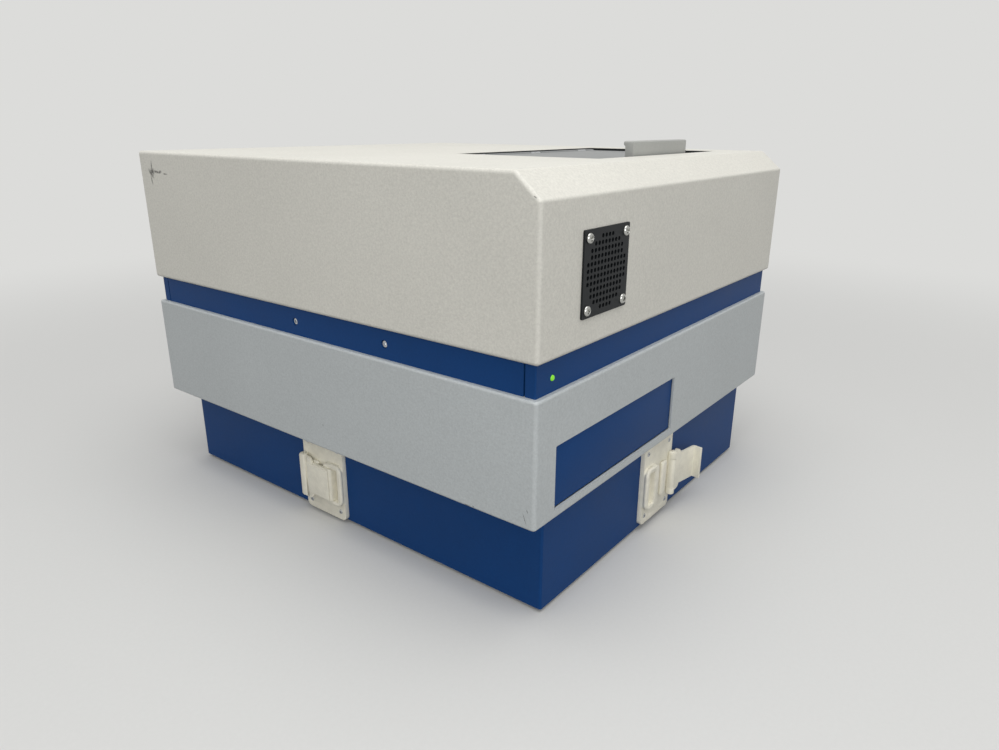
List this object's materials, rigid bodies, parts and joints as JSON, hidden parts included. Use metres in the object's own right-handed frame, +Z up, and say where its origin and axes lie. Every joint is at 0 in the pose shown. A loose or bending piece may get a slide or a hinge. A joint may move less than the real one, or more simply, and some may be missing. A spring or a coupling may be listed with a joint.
{
  "type": "microplate reader",
  "caption": "Bench-top microplate reader: plinth, band with a flap door for the plate carrier, recessed trim and a hood with a top lid, and hinged latches for tie-down.",
  "frame": {"origin": "on the bench, under the middle of the case", "axes": "+Z up, -Y towards the front with the plate door, +X to the right seen from the front"},
  "size_m": [0.44, 0.4931, 0.3455],
  "materials": {
    "navy_paint": "satin textured powder coat",
    "hood_paint": "fine textured powder coat, warm off-white",
    "band_paint": "fine textured powder coat, cool light grey",
    "lid_paint": "fine textured powder coat, grey",
    "handle_paint": "fine textured powder coat, grey",
    "black_paint": "matt black paint",
    "steel": "ground steel",
    "bright_steel": "nickel-plated",
    "aluminium": "milled, clear anodised",
    "black_aluminium": "black anodised",
    "brass": "sintered bronze",
    "rubber": "moulded",
    "belt_rubber": "moulded, toothed",
    "cream_plastic": "moulded, slightly yellowed",
    "black_plastic": "moulded",
    "gloss_black": "moulded",
    "board_green": "solder-masked board",
    "led_green": "lit green lens",
    "galvanised": "zinc-plated sheet"
  },
  "bodies": {
    "housing": {"base_plinth": "navy_paint", "rubber_feet": "rubber", "lower_band": "band_paint", "front_trim": "navy_paint", "rear_trim": "navy_paint", "side_trim_left": "navy_paint", "side_trim_right": "navy_paint", "case_screws": "steel", "hood": "hood_paint", "fan_grille": "black_paint", "grille_screws": "bright_steel", "fan_frame": "black_plastic", "status_led": "led_green", "lid_well_pan": "black_paint", "lid_hinge_blocks": "steel", "lid_hinge_pin": "steel", "head_cap": "black_aluminium", "injector_block": "aluminium", "port_caps": "black_plastic", "door_brackets": "galvanised", "door_hinge_rod": "steel", "transport_deck": "galvanised", "standoffs": "aluminium", "y_guide_rods": "steel", "rod_brackets": "aluminium", "stepper_motors": "black_paint", "y_belt": "belt_rubber", "optics_deck": "aluminium", "optic_head": "black_aluminium", "flash_lamp": "black_aluminium", "detector_housing": "black_aluminium", "light_guides": "black_plastic", "main_board": "board_green", "power_supply": "galvanised", "rear_panel": "aluminium", "power_inlet": "black_plastic", "switch_bezel": "black_plastic", "data_ports": "steel", "latch_plates": "cream_plastic"},
    "lid": {"lid_panel": "lid_paint", "lid_handle": "handle_paint"},
    "door": {"door_flap": "navy_paint"},
    "bridge": {"tray_bridge": "aluminium", "bridge_bushings": "brass", "cross_rods": "steel", "x_motor": "black_paint", "x_belt": "belt_rubber"},
    "carrier": {"plate_carrier": "black_aluminium", "slider_block": "aluminium", "plate_spring": "steel"},
    "fan": {"fan_rotor": "black_plastic"},
    "excitation_wheel": {"filter_wheel_excitation": "black_aluminium"},
    "emission_wheel": {"filter_wheel_emission": "black_aluminium"},
    "rocker": {"rocker_switch": "gloss_black"},
    "latch_left": {"latch_slider_left": "cream_plastic"},
    "latch_front": {"latch_slider_front": "cream_plastic"},
    "y_drive": {"y_drive_pulley": "aluminium"},
    "y_idler": {"y_idler_pulley": "aluminium"},
    "x_drive": {"x_drive_pulley": "aluminium"},
    "x_idler": {"x_idler_pulley": "aluminium"}
  },
  "joints": [
    {"name": "lid_hinge", "type": "hinge", "parent": "housing", "child": "lid", "pos_m": [0.0575, -0.0375, 0.3293], "axis": [-1, 0, 0], "range_deg": [0, 100]},
    {"name": "door_hinge", "type": "hinge", "parent": "housing", "child": "door", "pos_m": [-0.0995, -0.2345, 0.141], "axis": [-1, 0, 0], "range_deg": [0, 85]},
    {"name": "tray_out", "type": "slide", "parent": "housing", "child": "bridge", "axis": [0, -1, 0], "range_m": [0, 0.23]},
    {"name": "tray_shift", "type": "slide", "parent": "bridge", "child": "carrier", "axis": [-1, 0, 0], "range_m": [-0.206, 0]},
    {"name": "fan_spin", "type": "hinge", "parent": "housing", "child": "fan", "pos_m": [-0.1396, -0.23, 0.2619], "axis": [0, 1, 0], "continuous": true},
    {"name": "excitation_wheel_turn", "type": "hinge", "parent": "housing", "child": "excitation_wheel", "pos_m": [-0.02, 0.064, 0.205], "axis": [0, 1, 0], "continuous": true},
    {"name": "emission_wheel_turn", "type": "hinge", "parent": "housing", "child": "emission_wheel", "pos_m": [0.11, 0.064, 0.205], "axis": [0, 1, 0], "continuous": true},
    {"name": "power_rocker", "type": "hinge", "parent": "housing", "child": "rocker", "pos_m": [0.058, 0.237, 0.1374], "axis": [1, 0, 0], "range_deg": [0, 16]},
    {"name": "latch_left_hinge", "type": "hinge", "parent": "housing", "child": "latch_left", "pos_m": [-0.2031, 0.0414, 0.0395], "axis": [0, 0, -1], "range_deg": [0, 175]},
    {"name": "latch_front_hinge", "type": "hinge", "parent": "housing", "child": "latch_front", "pos_m": [0.0116, -0.2381, 0.0427], "axis": [0, 0, 1], "range_deg": [-170, 8]},
    {"name": "y_drive_turn", "type": "hinge", "parent": "housing", "child": "y_drive", "pos_m": [-0.14, 0.104, 0.08], "axis": [1, 0, 0], "range_deg": [0, 1960]},
    {"name": "y_idler_turn", "type": "hinge", "parent": "housing", "child": "y_idler", "pos_m": [-0.14, -0.2, 0.08], "axis": [1, 0, 0], "range_deg": [0, 1960]},
    {"name": "x_drive_turn", "type": "hinge", "parent": "bridge", "child": "x_drive", "pos_m": [0.1595, 0.043, 0.1165], "axis": [0, 0, 1], "range_deg": [0, 1760]},
    {"name": "x_idler_turn", "type": "hinge", "parent": "bridge", "child": "x_idler", "pos_m": [-0.1565, 0.043, 0.1165], "axis": [0, 0, 1], "range_deg": [0, 1760]}
  ],
  "couplings": [
    {"joint": "door_hinge", "follows": "tray_out", "rad_per_m": 6.45},
    {"joint": "y_drive_turn", "follows": "tray_out", "rad_per_m": 148.15},
    {"joint": "y_idler_turn", "follows": "tray_out", "rad_per_m": 148.15},
    {"joint": "x_drive_turn", "follows": "tray_shift", "rad_per_m": -148.15},
    {"joint": "x_idler_turn", "follows": "tray_shift", "rad_per_m": -148.15}
  ]
}
